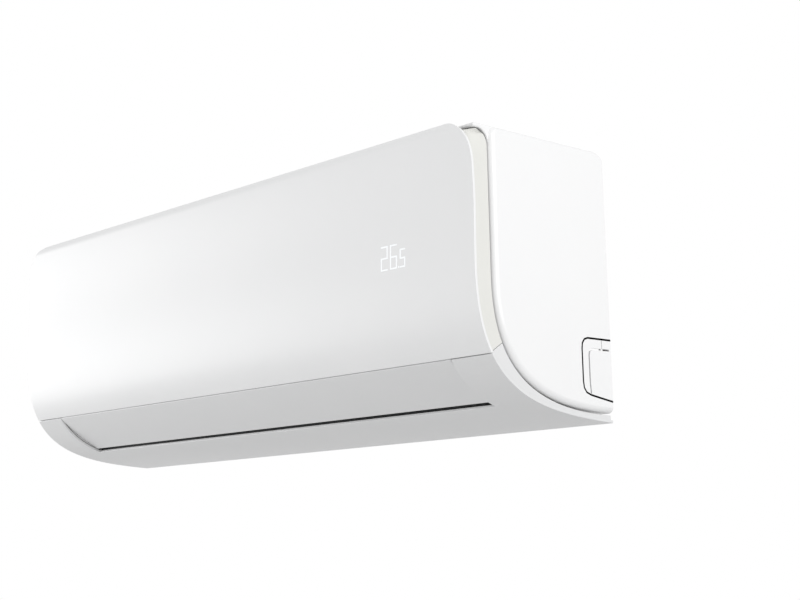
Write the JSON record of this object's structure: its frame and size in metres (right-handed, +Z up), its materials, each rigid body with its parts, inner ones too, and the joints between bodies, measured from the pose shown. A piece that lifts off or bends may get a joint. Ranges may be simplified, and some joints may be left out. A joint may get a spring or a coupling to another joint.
{
  "type": "mini split indoor unit",
  "caption": "Wall-hung indoor unit of a split air conditioner: hinged front panel, swinging louver, crossflow fan, vanes, wrapped coil, filters and wall plate.",
  "frame": {"origin": "centre of the wall plate's back face, which lies on the wall", "axes": "+X along the unit to the right as seen from the room, +Y into the wall, +Z up"},
  "size_m": [0.835, 0.1982, 0.2899],
  "materials": {
    "pearl_white_plastic": "smooth pearl white moulding with a soft gloss",
    "gloss_white_plastic": "glossy white moulding",
    "textured_white_plastic": "warm white moulding with a fine spark texture",
    "moulded_white_plastic": "plain white moulding, satin",
    "grey_plastic": "light grey moulding",
    "black_plastic": "black moulding",
    "circuit_board": "green solder mask",
    "filter_net": "pale plastic frame with a fine net",
    "fan_plastic": "dark grey moulding, satin",
    "black_rubber": "black rubber",
    "bright_steel": "bright turned steel",
    "galvanised_steel": "zinc coated sheet",
    "coated_aluminium_fins": "pale blue coated fins",
    "copper_pipe": "bare drawn copper",
    "brass": "machined brass",
    "hose_plastic": "corrugated off-white hose"
  },
  "bodies": {
    "housing": {"lower_deck": "moulded_white_plastic", "side_cap_right": "gloss_white_plastic", "side_cap_left": "gloss_white_plastic", "pipe_knockout_right": "gloss_white_plastic", "pipe_knockout_left": "gloss_white_plastic", "face_frame": "moulded_white_plastic", "rear_chassis": "black_plastic", "fan_bearing": "black_rubber", "fan_motor": "galvanised_steel", "motor_cover": "moulded_white_plastic", "evaporator_lower_slab": "coated_aluminium_fins", "evaporator_upper_slab": "coated_aluminium_fins", "evaporator_rear_slab": "coated_aluminium_fins", "evaporator_end_plate_left": "galvanised_steel", "evaporator_end_plate_right": "galvanised_steel", "gas_pipe": "copper_pipe", "liquid_pipe": "copper_pipe", "flare_nut_gas": "brass", "flare_nut_liquid": "brass", "pipe_clamp": "grey_plastic", "drain_pan": "moulded_white_plastic", "drain_hose": "hose_plastic", "louver_motor": "galvanised_steel", "louver_support": "moulded_white_plastic", "vane_motor": "galvanised_steel", "control_box": "moulded_white_plastic", "control_box_cover": "moulded_white_plastic", "main_board": "circuit_board", "smoothing_capacitor": "black_rubber", "power_relay": "black_plastic", "terminal_block": "black_plastic", "coil_thermistor": "black_rubber", "room_thermistor": "grey_plastic", "frame_screw_left": "bright_steel", "frame_screw_right": "bright_steel", "wall_plate": "galvanised_steel"},
    "front_panel": {"front_panel_skin": "pearl_white_plastic", "front_panel_frame": "textured_white_plastic", "display_light_box": "black_plastic", "display_board": "circuit_board"},
    "louver": {"louver": "pearl_white_plastic", "louver_motor_shaft": "bright_steel"},
    "fan": {"crossflow_fan": "fan_plastic", "motor_shaft": "bright_steel"},
    "button": {"emergency_button": "grey_plastic"},
    "filter_left": {"air_filter_left": "filter_net"},
    "filter_right": {"air_filter_right": "filter_net"},
    "tie_bar": {"vane_tie_bar": "grey_plastic"},
    "crank": {"vane_crank": "grey_plastic"},
    "vane_01": {"vane_01": "fan_plastic"},
    "vane_02": {"vane_02": "fan_plastic"},
    "vane_03": {"vane_03": "fan_plastic"},
    "vane_04": {"vane_04": "fan_plastic"},
    "vane_05": {"vane_05": "fan_plastic"},
    "vane_06": {"vane_06": "fan_plastic"},
    "vane_07": {"vane_07": "fan_plastic"},
    "vane_08": {"vane_08": "fan_plastic"},
    "vane_09": {"vane_09": "fan_plastic"},
    "vane_10": {"vane_10": "fan_plastic"}
  },
  "joints": [
    {"name": "front_panel_hinge", "type": "hinge", "parent": "housing", "child": "front_panel", "pos_m": [0, -0.18604, 0.11897], "axis": [-1, 0, 0], "range_deg": [0, 55]},
    {"name": "louver_swing", "type": "hinge", "parent": "housing", "child": "louver", "pos_m": [0, -0.12597, -0.12555], "axis": [1, 0, 0], "range_deg": [0, 85]},
    {"name": "fan_spin", "type": "hinge", "parent": "housing", "child": "fan", "pos_m": [0, -0.08764, -0.049], "axis": [1, 0, 0], "continuous": true},
    {"name": "emergency_button_press", "type": "slide", "parent": "housing", "child": "button", "axis": [0, 1, 0], "range_m": [0, 0.0015], "stiffness_N_per_m": 400},
    {"name": "filter_left_lift", "type": "slide", "parent": "housing", "child": "filter_left", "axis": [0, 0, 1], "range_m": [0, 0.008]},
    {"name": "filter_right_lift", "type": "slide", "parent": "housing", "child": "filter_right", "axis": [0, 0, 1], "range_m": [0, 0.008]},
    {"name": "vane_01_swing", "type": "hinge", "parent": "housing", "child": "vane_01", "pos_m": [-0.32981, -0.07918, -0.12978], "axis": [0, -0.3492, 0.9371], "range_deg": [-40, 40]},
    {"name": "vane_02_swing", "type": "hinge", "parent": "housing", "child": "vane_02", "pos_m": [-0.26383, -0.07918, -0.12978], "axis": [0, -0.3492, 0.9371], "range_deg": [-40, 40]},
    {"name": "vane_03_swing", "type": "hinge", "parent": "housing", "child": "vane_03", "pos_m": [-0.19785, -0.07918, -0.12978], "axis": [0, -0.3492, 0.9371], "range_deg": [-40, 40]},
    {"name": "vane_04_swing", "type": "hinge", "parent": "housing", "child": "vane_04", "pos_m": [-0.13187, -0.07918, -0.12978], "axis": [0, -0.3492, 0.9371], "range_deg": [-40, 40]},
    {"name": "vane_05_swing", "type": "hinge", "parent": "housing", "child": "vane_05", "pos_m": [-0.06589, -0.07918, -0.12978], "axis": [0, -0.3492, 0.9371], "range_deg": [-40, 40]},
    {"name": "vane_06_swing", "type": "hinge", "parent": "housing", "child": "vane_06", "pos_m": [0.00009, -0.07918, -0.12978], "axis": [0, -0.3492, 0.9371], "range_deg": [-40, 40]},
    {"name": "vane_07_swing", "type": "hinge", "parent": "housing", "child": "vane_07", "pos_m": [0.06607, -0.07918, -0.12978], "axis": [0, -0.3492, 0.9371], "range_deg": [-40, 40]},
    {"name": "vane_08_swing", "type": "hinge", "parent": "housing", "child": "vane_08", "pos_m": [0.13205, -0.07918, -0.12978], "axis": [0, -0.3492, 0.9371], "range_deg": [-40, 40]},
    {"name": "vane_09_swing", "type": "hinge", "parent": "housing", "child": "vane_09", "pos_m": [0.19803, -0.07918, -0.12978], "axis": [0, -0.3492, 0.9371], "range_deg": [-40, 40]},
    {"name": "vane_10_swing", "type": "hinge", "parent": "housing", "child": "vane_10", "pos_m": [0.26401, -0.07918, -0.12978], "axis": [0, -0.3492, 0.9371], "range_deg": [-40, 40]},
    {"name": "tie_bar_pin", "type": "hinge", "parent": "vane_01", "child": "tie_bar", "pos_m": [-0.32981, -0.06981, -0.12629], "axis": [0, -0.3492, 0.9371], "range_deg": [-40, 40]},
    {"name": "vane_crank_turn", "type": "hinge", "parent": "housing", "child": "crank", "pos_m": [0.325, -0.07918, -0.12978], "axis": [0, -0.3492, 0.9371], "range_deg": [-40, 40]}
  ],
  "couplings": [
    {"joint": "vane_02_swing", "follows": "vane_01_swing", "ratio": 1},
    {"joint": "vane_03_swing", "follows": "vane_01_swing", "ratio": 1},
    {"joint": "vane_04_swing", "follows": "vane_01_swing", "ratio": 1},
    {"joint": "vane_05_swing", "follows": "vane_01_swing", "ratio": 1},
    {"joint": "vane_06_swing", "follows": "vane_01_swing", "ratio": 1},
    {"joint": "vane_07_swing", "follows": "vane_01_swing", "ratio": 1},
    {"joint": "vane_08_swing", "follows": "vane_01_swing", "ratio": 1},
    {"joint": "vane_09_swing", "follows": "vane_01_swing", "ratio": 1},
    {"joint": "vane_10_swing", "follows": "vane_01_swing", "ratio": 1},
    {"joint": "tie_bar_pin", "follows": "vane_01_swing", "ratio": -1},
    {"joint": "vane_crank_turn", "follows": "vane_01_swing", "ratio": 1}
  ]
}
